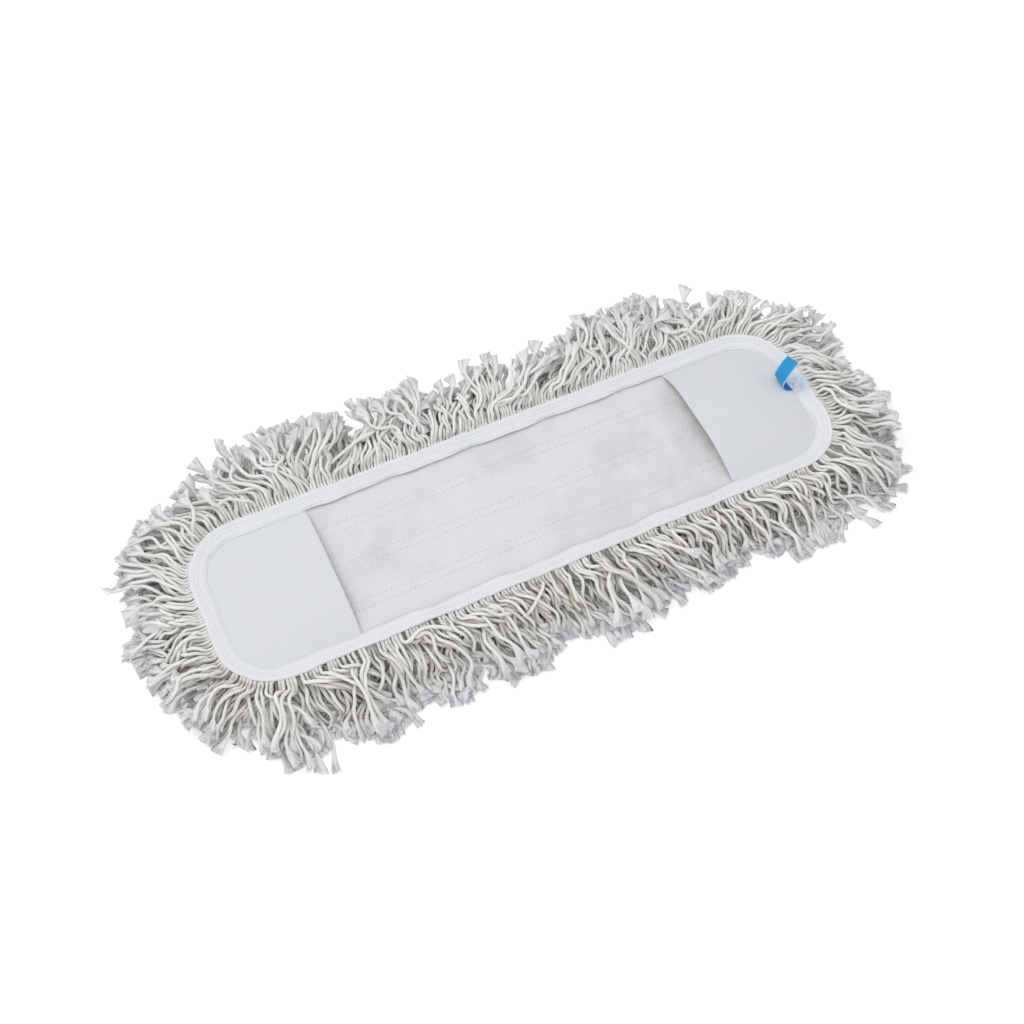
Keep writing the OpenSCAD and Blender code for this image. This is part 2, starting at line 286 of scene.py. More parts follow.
def needle_hole(radius, depth):
    """The dimple that a needle leaves: a shallow cup, made dark by painted shade."""
    bpy.ops.object.select_all(action="DESELECT")
    bpy.ops.mesh.primitive_cone_add(
        vertices=8, radius1=radius, radius2=radius * 0.3, depth=depth)
    cup = bpy.context.object
    bpy.ops.object.mode_set(mode="EDIT")
    bpy.ops.mesh.select_all(action="SELECT")
    bpy.ops.transform.translate(value=(0, 0, depth / 2 - 0.9 * depth))
    bpy.ops.object.mode_set(mode="OBJECT")
    return cup


def mesh_piece(name, points, corners, starts, smooth):
    """A new piece from its points, the corners of all its faces and where each face starts."""
    mesh = bpy.data.meshes.new(name)
    mesh.vertices.add(points.size // 3)
    mesh.vertices.foreach_set("co", points.ravel())
    mesh.loops.add(corners.size)
    mesh.loops.foreach_set("vertex_index", corners.ravel())
    mesh.polygons.add(starts.size)
    mesh.polygons.foreach_set("loop_start", starts.ravel())
    mesh.polygons.foreach_set("use_smooth", smooth)
    mesh.update(calc_edges=True)
    piece = bpy.data.objects.new(name, mesh)
    bpy.context.collection.objects.link(piece)
    return piece


def sewn_copies(name, model, places, headings, tilts=None):
    """Copies one model to every place, turned to the seam's heading, as one mesh."""
    base = read_points(model)
    loops = np.empty(len(model.data.loops), int)
    model.data.loops.foreach_get("vertex_index", loops)
    starts = np.empty(len(model.data.polygons), int)
    model.data.polygons.foreach_get("loop_start", starts)
    tilts = np.zeros(len(places)) if tilts is None else tilts
    cos, sin = np.cos(headings)[:, None], np.sin(headings)[:, None]
    rise = base[:, 2] + np.tan(tilts)[:, None] * base[:, 0]
    points = np.stack([
        cos * base[:, 0] - sin * base[:, 1] + places[:, 0, None],
        sin * base[:, 0] + cos * base[:, 1] + places[:, 1, None],
        rise + places[:, 2, None]], axis=2)
    many = np.arange(len(places))[:, None]
    piece = mesh_piece(
        name, points, loops + many * len(base), starts + many * len(loops),
        np.ones(len(starts) * len(places), bool))
    bpy.data.objects.remove(model)
    return piece


def spun_thread(name, colour):
    """Polyester thread: fine twisted filaments with a slight gloss."""
    material, shader = new_material(name, {"Roughness": 0.6})
    tree = material.node_tree
    place = add_node(tree, "TexCoord", "Object")
    twist = add_node(tree, "TexNoise", "Fac", {"Vector": place, "Scale": 2600})
    dulled = [0.82 * c for c in colour]
    bump = add_node(tree, "Bump", "Normal", {"Distance": 0.05 * MM, "Height": twist})
    feed(shader, {"Base Color": mix_colours(tree, twist, dulled, colour), "Normal": bump})
    return material


def shaded_hole(name, colour):
    """Painted shade for the inside of a needle hole: a dark colour, paler in patches."""
    material, shader = new_material(name, {"Roughness": 1})
    tree = material.node_tree
    place = add_node(tree, "TexCoord", "Object")
    hole_patches = add_node(tree, "TexNoise", "Fac", {"Vector": place, "Scale": 160})
    paler_shade = [min(1, 2.4 * c) for c in colour]
    feed(shader, {"Base Color": mix_colours(tree, hole_patches, colour, paler_shade)})
    return material


white_thread = spun_thread("white_thread", (0.78, 0.79, 0.81))
# Painted shade for every needle hole, on the canvas and on the tape.
hole_shade = shaded_hole("needle_hole_shade", (0.20, 0.20, 0.21))
stitch_rng = np.random.default_rng(11)
for number, row in enumerate(row_names):
    low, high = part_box("row_stitching_" + row)
    spots, holes = [], []
    for line in seam_lines[2 * number:2 * number + 2]:
        steps = np.arange(low[0], high[0], stitch_pitch)
        wander = 0.25 * MM * np.sin(steps / (31 * MM) + 5 * line / MM)
        for n, s in enumerate(steps):
            spots.append((s + stitch_pitch / 2, line + wander[n]))
            holes.append((s, line + wander[n] + stitch_rng.normal(0, 0.12 * MM)))
    spots, holes = np.array(spots), np.array(holes)
    top = canvas_height(spots[:, 0], spots[:, 1])
    seam = sewn_copies(
        "row_stitches_" + row, one_stitch(*row_stitch),
        np.column_stack([spots, top - 0.1 * MM]), stitch_rng.normal(0, 0.03, len(spots)))
    seam.data.materials.append(white_thread)
    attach(seam, "mop_head")
    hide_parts("row_stitching_" + row)
    top = canvas_height(holes[:, 0], holes[:, 1])
    dimples = sewn_copies(
        "row_needle_holes_" + row, needle_hole(*row_hole),
        np.column_stack([holes, top + 0.02 * MM]), np.zeros(len(holes)))
    dimples.data.materials.append(hole_shade)
    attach(dimples, "mop_head")

# Pockets.
# Two end pockets of smooth white cloth, caught under the tape on three sides. The mouth
# is turned in as a hem; the right mouth stands open, the left one lies almost flat.
pocket_thick = 0.6 * MM
pocket_inset = 4 * MM
hem_w = 8 * MM
hem_pitch = 2.8 * MM
hem_stitch = (2.1 * MM, 0.4 * MM)
pocket_foot = canvas_high.z - 0.05 * MM
pocket_slack = 0.3 * MM
slack_waves = (25 * MM, 80 * MM)
slack_from = 2 * MM
hem_margin = 13 * MM


def pocket_lift(x, y, mouth, crown):
    """Rise of a pocket over the canvas: none under the tape, most amid its mouth."""
    inner = half_width(x, tape_w + 0.5 * MM)
    q = np.clip(np.abs(y) / inner, 0, 1)
    closed = half_l - tape_w - 0.5 * MM
    p = np.clip((closed - x) / (closed - mouth), 0, 1)
    arch = (1 - q ** 3.2) * (1 - (1 - p) ** 3)
    return crown * arch


def sewn_pocket(name, node, side, crown, seed):
    """One pocket with its hem, on the left for side -1; gives it and how far out its mouth is."""
    low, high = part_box(node)
    mouth = low[0] if side > 0 else -high[0]
    pocket = cloth_grid(name, 76, 96)
    spot = read_points(pocket)
    reach = half_l - pocket_inset
    x = mouth + (spot[:, 0] + 1) / 2 * (reach - mouth)
    y = spot[:, 1] * half_width(x, pocket_inset)
    lift = pocket_lift(x, y, mouth, crown)
    loose = np.clip(lift / slack_from, 0, 1)
    slack = loose * pocket_slack * undulation(x, y, seed, *slack_waves)
    z = pocket_foot + rim_lift(x, y) + lift + slack
    hem_edge = np.clip(1 - np.abs(x - mouth - hem_w) / (0.9 * MM), 0, 1)
    z -= 0.1 * MM * hem_edge * loose
    write_points(pocket, np.column_stack([side * x, y, z]))
    if side < 0:
        bpy.ops.object.mode_set(mode="EDIT")
        bpy.ops.mesh.select_all(action="SELECT")
        bpy.ops.mesh.flip_normals()
        bpy.ops.object.mode_set(mode="OBJECT")
    thicken(pocket, pocket_thick)
    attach(pocket, "mop_head")
    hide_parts(node)
    return pocket, mouth


pocket_cloth = woven_cloth(
    "pocket_weave", (0.655, 0.67, 0.695), (0.595, 0.605, 0.635), 0.45 * MM, 0.1 * MM,
    blotching=0.12)
for name, side, crown, seed in (("left", -1, 6.3 * MM, 21), ("right", 1, 9 * MM, 22)):
    pocket, mouth = sewn_pocket("pocket_cloth_" + name, "pocket_" + name, side, crown, seed)
    pocket.data.materials.append(pocket_cloth)

    across = np.arange(-half_w + hem_margin, half_w - hem_margin, hem_pitch)
    hem_x = np.full_like(across, mouth + hem_w - 1 * MM)
    top = pocket_foot + rim_lift(hem_x, across) + pocket_lift(hem_x, across, mouth, crown)
    lean = np.gradient(top, across)
    loose = np.clip((top - pocket_foot) / slack_from, 0, 1)
    top += loose * pocket_slack * undulation(hem_x, across, seed, *slack_waves)
    hem = sewn_copies(
        "hem_stitches_" + name, one_stitch(*hem_stitch),
        np.column_stack([side * hem_x, across, top - 0.06 * MM]),
        np.full(len(across), math.pi / 2), np.arctan(lean))
    hem.data.materials.append(white_thread)
    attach(hem, "mop_head")
    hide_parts("hem_stitching_" + name)

# Yarn fringe.
# Cream cotton yarn, sewn on a header band under the tape all round. It leaves the seam as a
# tight ruffle, falls over itself in wavy locks and ends in cut tips, untwisted into flat fans.
# Painted shade darkens it in the ply grooves, between the tip fibres and deep in the pile.
yarn_d = 2.35 * MM
yarn_rings = 30
fan_rings = 6
root_pitches = (2.4 * MM, 2.6 * MM, 3.0 * MM, 3.4 * MM)
root_drop = 2.9 * MM
lock_count = 140
turn_knots = 6
settle_rounds = 80
floor_gap = 0.55 * yarn_d
tip_thick = 0.5 * MM
run_lengths = [2 * bend_x, corner_r * math.pi / 2, 2 * bend_y, corner_r * math.pi / 2] * 2
run_names = (
    "front", "corner_front_right", "right", "corner_back_right",
    "back", "corner_back_left", "left", "corner_front_left")
run_starts = np.concatenate([[0], np.cumsum(run_lengths)])
edge_length = run_starts[-1]
fringe_reach = np.array([
    56.6, 55.5, 53.7, 52.6, 56.9, 43.5, 57.2, 47.8, 50.4, 41.7, 50.8,
    51.1, 59.5, 57.0, 50.8, 52.9, 42.4, 45.7, 72.0, 72.0, 59.3, 52.3,
    57.5, 52.8, 58.7, 44.9, 63.1, 67.7, 44.8, 48.7, 52.3, 46.9, 39.8]) * MM
fringe_rng = np.random.default_rng(5)


def on_edge(s):
    """Place on the tape's outer edge at s, counted from the left of the front, and its run."""
    run = np.clip(np.searchsorted(run_starts, s, side="right") - 1, 0, 7)
    f = s - run_starts[run]
    start = np.array([
        [-bend_x, -half_w], [bend_x, -bend_y], [half_l, -bend_y], [bend_x, bend_y],
        [bend_x, half_w], [-bend_x, bend_y], [-half_l, bend_y], [-bend_x, -bend_y]])[run]
    facing = np.array([-90, -90, 0, 0, 90, 90, 180, 180])[run] * math.pi / 180
    round_corner = run % 2 == 1
    facing = facing + np.where(round_corner, f / corner_r, 0)
    out = np.column_stack([np.cos(facing), np.sin(facing)])
    side = np.column_stack([-out[:, 1], out[:, 0]])
    straight = start + side * f[:, None]
    place = np.where(round_corner[:, None], start + corner_r * out, straight)
    return place, out, side, run


def wandering(share, knots):
    """A smooth turn along each yarn, from one random value to the next."""
    at = np.clip(share, 0, 0.999) * (knots.shape[1] - 1)
    k = at.astype(int)
    t = (at - k) ** 2 * (3 - 2 * (at - k))
    rows = np.arange(len(share))[:, None]
    return knots[rows, k] * (1 - t) + knots[rows, k + 1] * t


def spun_path(s, layer):
    """The way each yarn would lie on its own: out of the seam, then wandering with its lock."""
    count = len(s)
    place, out, side, run = on_edge(s)
    stations = np.arange(len(fringe_reach)) * edge_length / len(fringe_reach)
    reach = np.interp(s, stations, fringe_reach, period=edge_length)
    brushed_up = np.clip(reach - 58 * MM, 0, None) / (14 * MM)
    reach = np.minimum(reach, 61 * MM)
    lock_edges = np.cumsum(fringe_rng.uniform(7, 24, lock_count)) * MM
    lock = np.clip(np.searchsorted(lock_edges, s), 1, lock_count - 1)
    lock_mid = (lock_edges[lock] + lock_edges[lock - 1]) / 2
    lock_turn = fringe_rng.normal(0, 0.42, lock_count)[lock]
    lock_tip = fringe_rng.normal(0, 0.26, lock_count)[lock]
    lock_phase = fringe_rng.uniform(0, 2 * math.pi, lock_count)[lock]
    lock_wave = fringe_rng.uniform(24, 44, lock_count)[lock] * MM
    lock_sway = fringe_rng.uniform(0.1, 0.48, lock_count)[lock]
    lock_length = fringe_rng.uniform(0.88, 1.05, lock_count)[lock]
    length = 1.13 * reach * lock_length * fringe_rng.uniform(0.94, 1.03, count)
    run_out = length[:, None] * (np.arange(yarn_rings) / (yarn_rings - 1)) ** 1.2
    step = np.diff(run_out, axis=1)

    stray = fringe_rng.random(count) < (0.13 if layer == 0 else 0.04)
    freed = smooth_step(run_out, 3 * MM, 20 * MM)
    combed = 0.46 * side[:, 0] * smooth_step(place[:, 0], -150 * MM, -50 * MM)
    lean = combed - 0.5 * np.clip(out[:, 0], 0, 1) ** 3 + 0.3 * np.clip(out[:, 0], -1, 0) ** 3
    lean += 0.1 * np.sin(2 * math.pi * s / 0.11 + 0.6)
    turn = lock_turn + lean + fringe_rng.normal(0, 0.14, count)
    turn += stray * fringe_rng.normal(0, 0.6, count)
    heading = freed * np.clip(turn, -1, 1)[:, None]
    sway = lock_sway[:, None] * smooth_step(run_out, 3 * MM, 14 * MM)
    wave = (lock_wave * fringe_rng.uniform(0.85, 1.15, count))[:, None]
    phase = (lock_phase + fringe_rng.normal(0, 0.45, count))[:, None]
    heading += sway * np.sin(2 * math.pi * run_out / wave + phase)
    curliness = (0.34 + 0.14 * out[:, 1]) * fringe_rng.random(count) ** 2 + 0.03
    curl = curliness[:, None] * smooth_step(run_out, 6 * MM, 16 * MM)
    curl = curl * (1 - 0.7 * smooth_step(run_out, 0.55 * length[:, None], 0.8 * length[:, None]))
    short_wave = fringe_rng.uniform(15, 26, count)[:, None] * MM
    own_phase = fringe_rng.uniform(0, 2 * math.pi, count)[:, None]
    heading += curl * np.sin(2 * math.pi * run_out / short_wave + own_phase)
    roam = smooth_step(run_out, 4 * MM, 15 * MM)
    share = run_out / length[:, None]
    knots = 0.3 * fringe_rng.normal(0, 1, (lock_count, turn_knots))[lock]
    knots += 0.17 * fringe_rng.normal(0, 1, (count, turn_knots))
    heading += wandering(share, knots) * roam
    first_lean = (0.7 * lean + fringe_rng.normal(0, 0.05, count))[:, None]
    heading += first_lean * (1 - freed) * smooth_step(run_out, 0, 5 * MM)

    back = out[:, 1]
    lift_rise = (0.75, 0.45, 0.1, -0.2)[layer] + 0.08 * back
    lift_rise += fringe_rng.normal(0, 0.14, count)
    end_rise = (-0.66, -0.55, -0.42, -0.25)[layer] + 0.34 * back
    end_rise = end_rise + 0.6 * brushed_up + lock_tip + 0.35 * stray
    rise = smooth_step(run_out, 1 * MM, 3.5 * MM) * lift_rise[:, None]
    rise += (end_rise - lift_rise)[:, None] * smooth_step(run_out, 3.5 * MM, 0.6 * length[:, None])
    rise += 0.6 * curl * np.cos(2 * math.pi * run_out / short_wave + 2 * own_phase)
    rise += 0.3 * sway * np.cos(2 * math.pi * run_out / wave + 1.7 * phase)
    rise += wandering(share, 0.18 * fringe_rng.normal(0, 1, (count, turn_knots))) * roam

    way = np.stack([
        np.cos(rise) * np.cos(heading), np.cos(rise) * np.sin(heading), np.sin(rise)], axis=2)
    way = np.cumsum(way[:, :-1] * step[:, :, None], axis=1)
    way = np.concatenate([np.zeros((count, 1, 3)), way], axis=1)
    gather = 0.75 * smooth_step(run_out, 7 * MM, 40 * MM)
    way[:, :, 1] -= gather * np.clip(s - lock_mid, -9 * MM, 9 * MM)[:, None]
    root_z = canvas_high.z + 1.6 * MM - root_drop * layer
    path = np.empty((count, yarn_rings, 3))
    outward = (way[:, :, :1] - 2 * MM) * out[:, None]
    path[:, :, :2] = place[:, None] + outward + way[:, :, 1:2] * side[:, None]
    height = root_z + way[:, :, 2]
    path[:, :, 2] = height - 0.5 * np.maximum(height - 28 * MM, 0)
    return path, run


def near_pairs(points, reach):
    """Pairs of points that lie closer together than reach, found cell by cell."""
    cell = np.floor(points / reach).astype(np.int64)
    cell -= cell.min(axis=0) - 1
    wide = cell.max(axis=0) + 2
    key = (cell[:, 0] * wide[1] + cell[:, 1]) * wide[2] + cell[:, 2]
    order = np.argsort(key, kind="stable")
    sorted_key = key[order]
    first, second = [], []
    around = (-1, 0, 1)
    steps = [(a, b, c) for a in around for b in around for c in around if (a, b, c) >= (0, 0, 0)]
    for a, b, c in steps:
        wanted = key + (a * wide[1] + b) * wide[2] + c
        low = np.searchsorted(sorted_key, wanted, "left")
        many = np.searchsorted(sorted_key, wanted, "right") - low
        for n in range(many.max()):
            one = np.nonzero(many > n)[0]
            other = order[low[one] + n]
            keep = (one < other) if (a, b, c) == (0, 0, 0) else np.ones(len(one), bool)
            one, other = one[keep], other[keep]
            close = ((points[one] - points[other]) ** 2).sum(axis=1) < reach * reach
            first.append(one[close])
            second.append(other[close])
    return np.concatenate(first), np.concatenate(second)


def settle(path, rounds):
    """Lays the yarns on one another and on the floor, each keeping its length and its waves."""
    yarns, rings = path.shape[:2]
    lie = path.copy()
    step = np.linalg.norm(np.diff(path, axis=1), axis=2, keepdims=True)
    curl = path[:, 2:] - 2 * path[:, 1:-1] + path[:, :-2]
    owner = np.repeat(np.arange(yarns), rings)
    apart = 0.96 * yarn_d
    size = yarns * rings
    for n in range(rounds):
        lie[:, 3:, 2] -= 0.06 * MM
        flat = lie.reshape(-1, 3)
        if n % 5 == 0:
            one, other = near_pairs(flat, 1.45 * yarn_d)
            apart_yarns = owner[one] != owner[other]
            one, other = one[apart_yarns], other[apart_yarns]
        gap = flat[one] - flat[other]
        far = np.sqrt((gap ** 2).sum(axis=1)) + 1e-9
        push = (0.4 * np.clip(apart - far, 0, None) / far)[:, None] * gap
        for axis in range(3):
            pushed = push[:, axis]
            flat[:, axis] += np.bincount(one, pushed, size) - np.bincount(other, pushed, size)
        bend = lie[:, 2:] - 2 * lie[:, 1:-1] + lie[:, :-2] - curl
        lie[:, 1:-1] += 0.2 * bend
        lie[:, 2:] -= 0.1 * bend
        lie[:, :-2] -= 0.1 * bend
        for start in (0, 1, 0, 1):
            edge = lie[:, start + 1::2] - lie[:, start:-1:2][:, :lie[:, start + 1::2].shape[1]]
            long = np.linalg.norm(edge, axis=2, keepdims=True) + 1e-9
            fix = 0.5 * edge * (1 - step[:, start::2] / long)
            lie[:, start + 1::2] -= fix
            lie[:, start:-1:2][:, :fix.shape[1]] += fix
        lie[:, :, 2] = np.maximum(lie[:, :, 2], floor_gap)
        lie[:, :3] = path[:, :3]
    return lie


def buried(path):
    """How deep in the pile each point lies: 0 at its faces, 1 between many other yarns."""
    flat = path.reshape(-1, 3)
    owner = np.repeat(np.arange(path.shape[0]), path.shape[1])
    one, other = near_pairs(flat, 2.2 * yarn_d)
    rise = np.where(owner[one] == owner[other], 0, flat[one, 2] - flat[other, 2])
    over, under = np.zeros(len(flat)), np.zeros(len(flat))
    clearly = 1.2 * MM
    for upper, lower, clear in ((one, other, rise > clearly), (other, one, rise < -clearly)):
        under += np.bincount(upper[clear], minlength=len(flat))
        over += np.bincount(lower[clear], minlength=len(flat))
    depth = np.clip(np.minimum(over, under) / 7, 0, 1).reshape(path.shape[:2])
    depth[:, 1:-1] = (depth[:, :-2] + 2 * depth[:, 1:-1] + depth[:, 2:]) / 4
    return smooth_step(depth, 0.2, 0.95)


def strand_mesh(name, path, wide, thick, sides, tone, fray, level=None, ragged=None):
    """Closed strands along many paths. Their frames start at the tip, with the flat side level."""
    strands, rings = path.shape[:2]
    ahead = np.gradient(path, axis=1)
    ahead /= np.linalg.norm(ahead, axis=2, keepdims=True) + 1e-12
    across = np.empty_like(path)
    upright = np.where(np.abs(ahead[:, -1, 2:]) < 0.95, [[0, 0, 1.0]], [[1.0, 0, 0]])
    spread = np.cross(ahead[:, -1], upright)
    spread /= np.linalg.norm(spread, axis=1, keepdims=True)
    roll = np.zeros((strands, 1)) if level is None else level[:, None]
    across[:, -1] = np.cos(roll) * spread + np.sin(roll) * np.cross(spread, ahead[:, -1])
    for k in range(rings - 2, -1, -1):
        slant = (across[:, k + 1] * ahead[:, k]).sum(axis=1, keepdims=True)
        across[:, k] = across[:, k + 1] - slant * ahead[:, k]
        across[:, k] /= np.linalg.norm(across[:, k], axis=1, keepdims=True) + 1e-12
    above = np.cross(ahead, across)
    turn = 2 * math.pi * np.arange(sides) / sides
    points = (
        path[:, :, None] + (wide[:, :, None] * np.cos(turn))[..., None] * across[:, :, None]
        + (thick[:, :, None] * np.sin(turn))[..., None] * above[:, :, None])
    if ragged is not None:
        points[:, -1] += ragged[..., None] * ahead[:, -1, None]
    points[..., 2] = np.maximum(points[..., 2], 0.05 * MM)

    index = np.arange(strands * rings * sides).reshape(strands, rings, sides)
    nxt = np.roll(index, -1, axis=2)
    walls = np.stack([index[:, :-1], nxt[:, :-1], nxt[:, 1:], index[:, 1:]], axis=3)
    walls = walls.reshape(-1, 4)
    caps = np.concatenate([index[:, 0, ::-1], index[:, -1]])
    corners = np.concatenate([walls.ravel(), caps.ravel()])
    starts = np.concatenate([
        4 * np.arange(len(walls)), walls.size + sides * np.arange(len(caps))])
    piece = mesh_piece(name, points, corners, starts, np.arange(len(starts)) < len(walls))

    steps = np.linalg.norm(np.diff(path, axis=1), axis=2)
    run_out = np.concatenate([np.zeros((strands, 1)), np.cumsum(steps, axis=1)], axis=1)
    u = np.broadcast_to(np.arange(sides) / sides, (strands, rings - 1, sides))
    v0 = np.broadcast_to(run_out[:, :-1, None], u.shape)
    u1, v1 = u + 1 / sides, np.broadcast_to(run_out[:, 1:, None], u.shape)
    uv = np.stack([u, v0, u1, v0, u1, v1, u, v1], axis=3).reshape(-1, 2)
    uv = np.concatenate([uv, np.zeros((caps.size, 2))])
    piece.data.uv_layers.new(name="lay").data.foreach_set("uv", uv.ravel())
    for title, values in (("tone", tone), ("fray", fray)):
        mark_points(piece.data, title, np.repeat(values.ravel(), sides))
    return piece


def tip_hairs(path, width, rng, hairs=12):
    """Loose fibres that stand out of the frayed tips."""
    count = len(path)
    start = path[:, -4]
    ahead = path[:, -1] - path[:, -4]
    long = np.linalg.norm(ahead, axis=1, keepdims=True)
    ahead = ahead / long
    level = np.cross(ahead, [[0, 0, 1.0]])
    level /= np.linalg.norm(level, axis=1, keepdims=True) + 1e-9
    above = np.cross(level, ahead)
    t = np.linspace(0, 1, 4)
    place = rng.uniform(-1.15, 1.15, (count, hairs))
    flare = width[:, None] * place
    stand = 1.3 * MM * rng.normal(0.3, 1, (count, hairs))
    reach = long * rng.uniform(0.85, 1.22, (count, hairs))
    hair = (
        start[:, None, None] + ahead[:, None, None] * (reach[:, :, None] * t)[..., None]
        + level[:, None, None] * (flare[:, :, None] * (0.25 + 0.75 * t ** 1.3))[..., None]
        + above[:, None, None] * (stand[:, :, None] * t ** 1.5)[..., None])
    hair[..., 2] = np.maximum(hair[..., 2], 0.3 * MM)
    return hair.reshape(count * hairs, 4, 3)


def cotton_yarn(name, lit, deep, tip_lit, tip_deep, lay, ply):
    """Soft spun cotton: plies winding round the yarn, combed fibres at its tip, its own tone, and
    painted shade.
    """
    material, shader = new_material(name, {
        "Roughness": 0.95, "Specular IOR Level": 0.1, "Sheen Weight": 0.2, "Sheen Roughness": 0.5,
        "Subsurface Weight": 0.5, "Subsurface Radius": (1.0, 0.92, 0.75),
        "Subsurface Scale": 2.5 * MM})
    tree = material.node_tree
    tone = add_node(tree, "Attribute", "Fac", attribute_name="tone")
    fray = add_node(tree, "Attribute", "Fac", attribute_name="fray")
    wound = add_node(tree, "UVMap", "UV", uv_map="lay")
    around = add_node(tree, "SeparateXYZ", "X", {"Vector": wound})
    along = around.node.outputs["Y"]
    turn = 2 * math.pi * ply
    turns = calc(tree, "MULTIPLY", around, turn)
    climb = calc(tree, "MULTIPLY_ADD", along, turn / lay, turns)
    ridge = calc(tree, "SINE", climb)

    place = add_node(tree, "TexCoord", "Object")
    fuzz = add_node(tree, "TexNoise", "Fac", {"Vector": place, "Scale": 900, "Detail": 3})
    spun = calc(tree, "MULTIPLY_ADD", ridge, 0.3, fuzz)
    comb = add_node(tree, "Mapping", "Vector", {"Vector": wound, "Scale": (44, 60, 1)})
    own = calc(tree, "MULTIPLY", tone, 90)
    streak = add_node(tree, "TexNoise", "Fac", {
        "Vector": comb, "W": own, "Scale": 1.6, "Detail": 3}, noise_dimensions="4D")
    relief = add_node(tree, "Mix", "Result", {"Factor": fray, "A": spun, "B": streak})
    bump = add_node(tree, "Bump", "Normal", {
        "Strength": 0.6, "Distance": 0.4 * MM, "Height": relief})

    # Painted shade in the grooves between the plies.
    groove_shade = add_node(tree, "MapRange", "Result", {
        "Value": ridge, "From Min": -0.2, "From Max": -1.0, "To Max": 0.1})
    # The share of the deep colour: each yarn's own tone, with the painted pile shade it carries,
    # plus the groove shade.
    depth = calc(tree, "ADD", tone, groove_shade, use_clamp=True)
    strand = mix_colours(tree, depth, lit, deep)
    # Painted shade in the gaps between the combed tip fibres.
    fibre_gap_shade = add_node(tree, "MapRange", "Result", {
        "Value": streak, "From Min": 0.62, "From Max": 0.3})
    fan = mix_colours(tree, fibre_gap_shade, tip_lit, tip_deep)
    feed(shader, {"Normal": bump, "Base Color": mix_colours(tree, fray, strand, fan)})
    return material


# The deep colour serves the yarns' darker random tones and their painted shade. The deep tip
# colour is the painted shade between tip fibres.
yarn_cotton = cotton_yarn(
    "cotton_yarn", (0.79, 0.788, 0.77), (0.34, 0.29, 0.22),
    (0.85, 0.86, 0.88), (0.44, 0.445, 0.46), 9 * MM, 2)
paths, runs, ranks = [], [], []
for layer, pitch in enumerate(root_pitches):
    count = int(edge_length / pitch)
    s = np.arange(count) + 0.5 * (layer % 2) + fringe_rng.normal(0, 0.18, count)
    s = np.mod(s * edge_length / count, edge_length)
    if layer != 1:
        facing_back = np.clip(on_edge(s)[1][:, 1], -1, 0.5)
        s = s[fringe_rng.random(count) > 0.04 - 0.08 * facing_back]
    path, run = spun_path(s, layer)
    paths.append(path)
    runs.append(run)
    ranks.append(np.full(len(s), layer))
paths, runs, ranks = np.concatenate(paths), np.concatenate(runs), np.concatenate(ranks)
paths = settle(paths, settle_rounds)
# How buried each point is among other yarns, used below for painted shade deep in the pile.
depths = buried(paths)
opening = np.concatenate([np.zeros(yarn_rings - fan_rings), np.linspace(0, 1, fan_rings)])
for run, name in enumerate(run_names):
    rng = np.random.default_rng(100 + run)
    for level, layers, sides in (("upper", (0, 1), 8), ("lower", (2, 3), 6)):
        mine = np.isin(ranks, layers) & (runs == run)
        path = paths[mine]
        girth = yarn_d / 2 * rng.uniform(0.86, 1.06, len(path))[:, None]
        girth = girth * rng.normal(1, 0.05, (len(path), yarn_rings))
        fan_w = rng.uniform(2.7, 5.6, len(path))[:, None] * MM
        wide = girth + (fan_w - girth) * opening
        thick = girth + (tip_thick - girth) * opening ** 0.8
        # Each yarn's own tone varies at random. On top, painted shade darkens yarn deep in the
        # pile: most at the front, which faces away from the key light, and none at the back.
        pile_shade = np.clip(0.25 - 0.45 * path[:, :1, 1] / half_w, 0, 0.5)
        tone = rng.normal(0.06, 0.07, len(path))[:, None] + pile_shade * depths[mine]
        fray = np.ones((len(path), 1)) * opening ** 0.7
        cut = rng.normal(0, 0.25, (len(path), 1)) * fan_w
        cut = cut * np.cos(2 * math.pi * np.arange(sides) / sides)
        ragged = cut + rng.normal(0, 0.35 * MM, (len(path), sides))
        yarn = strand_mesh(
            "fringe_yarn_%s_%s" % (name, level), path, wide, thick, sides,
            np.clip(tone, 0, 1), fray, rng.normal(0, 0.35, len(path)), ragged)
        yarn.data.materials.append(yarn_cotton)
        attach(yarn, "mop_head")
        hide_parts("fringe_" + name)
    path = paths[runs == run]
    hair = tip_hairs(path, rng.uniform(2.4, 4.6, len(path)) * MM, rng)
    fine = np.array([0.17, 0.16, 0.14, 0.1]) * MM * np.ones((len(hair), 1))
    tone = rng.uniform(0, 0.5, len(hair))[:, None] * np.ones(4)
    hairs = strand_mesh(
        "fringe_hairs_" + name, hair, fine, fine, 3, tone, np.ones((len(hair), 4)))
    hairs.data.materials.append(yarn_cotton)
    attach(hairs, "mop_head")
header_points = 401
header_inset = 3.2 * MM
header_drop = 1.2 * MM
header_s = np.mod(np.linspace(0, edge_length, header_points), edge_length)
header_place, header_out = on_edge(header_s)[:2]
header_z = np.full(header_points, canvas_high.z - header_drop)
header_path = np.column_stack([header_place - header_inset * header_out, header_z])[None]
header_grade = np.ones((1, header_points))
header = strand_mesh(
    "fringe_header", header_path, 0.7 * MM * header_grade, 2 * MM * header_grade, 8,
    0.2 * header_grade, 0 * header_grade)
header.data.materials.append(yarn_cotton)
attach(header, "mop_head")

